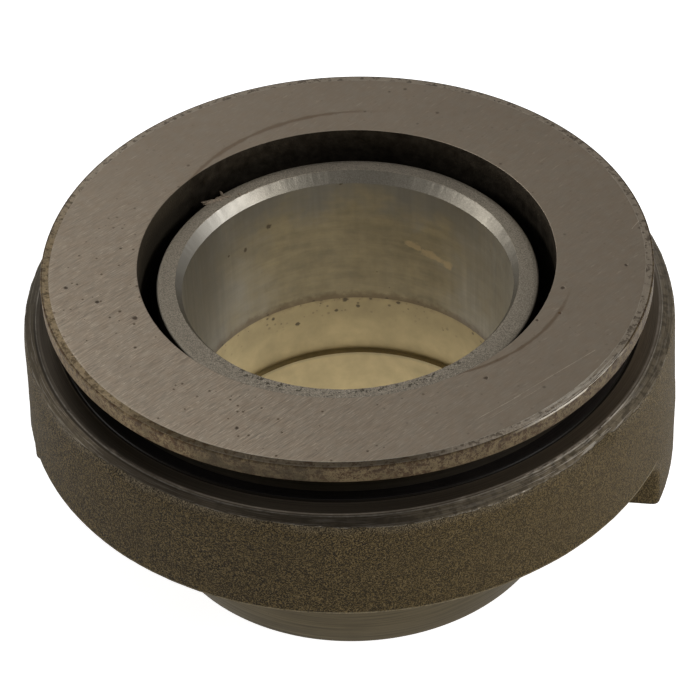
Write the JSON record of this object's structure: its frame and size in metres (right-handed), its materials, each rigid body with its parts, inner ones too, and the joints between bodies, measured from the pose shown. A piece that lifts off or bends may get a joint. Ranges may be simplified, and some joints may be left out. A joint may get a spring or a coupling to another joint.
{
  "type": "thrust bearing",
  "caption": "Clutch thrust ball bearing: a cast carrier with fork lugs slides on a guide tube and holds a ground thrust ring that spins on caged balls.",
  "frame": {"origin": "centre of the guide bore at the end face of the hub", "axes": "+Z along the guide bore towards the thrust face; X runs through the fork lugs"},
  "size_m": [0.07, 0.07, 0.0349],
  "materials": {
    "cast_iron": "sand-cast wall, blasted brown-grey, with turned rim, hub and bore",
    "ground_steel": "face ground with straight fine lines, light rust specks at the edge",
    "race_steel": "heat-darkened turned steel",
    "shield_steel": "pressed sheet steel, darkened",
    "cage_polyamide": "moulded polyamide, natural",
    "ball_steel": "polished bearing steel"
  },
  "bodies": {
    "carrier": {"carrier": "cast_iron", "outer_race": "race_steel", "upper_shield": "shield_steel", "lower_shield": "shield_steel"},
    "ring": {"thrust_ring": "ground_steel"},
    "cage": {"ball_cage": "cage_polyamide", "ball_01": "ball_steel", "ball_02": "ball_steel", "ball_03": "ball_steel", "ball_04": "ball_steel", "ball_05": "ball_steel", "ball_06": "ball_steel", "ball_07": "ball_steel", "ball_08": "ball_steel", "ball_09": "ball_steel", "ball_10": "ball_steel", "ball_11": "ball_steel", "ball_12": "ball_steel", "ball_13": "ball_steel", "ball_14": "ball_steel", "ball_15": "ball_steel", "ball_16": "ball_steel", "ball_17": "ball_steel", "ball_18": "ball_steel", "ball_19": "ball_steel", "ball_20": "ball_steel"}
  },
  "joints": [
    {"name": "ring_spin", "type": "hinge", "parent": "carrier", "child": "ring", "pos_m": [0, 0, 0.02475], "axis": [0, 0, 1], "continuous": true},
    {"name": "cage_spin", "type": "hinge", "parent": "carrier", "child": "cage", "pos_m": [0, 0, 0.02475], "axis": [0, 0, 1], "continuous": true}
  ],
  "couplings": [
    {"joint": "cage_spin", "follows": "ring_spin", "ratio": 0.46294}
  ]
}
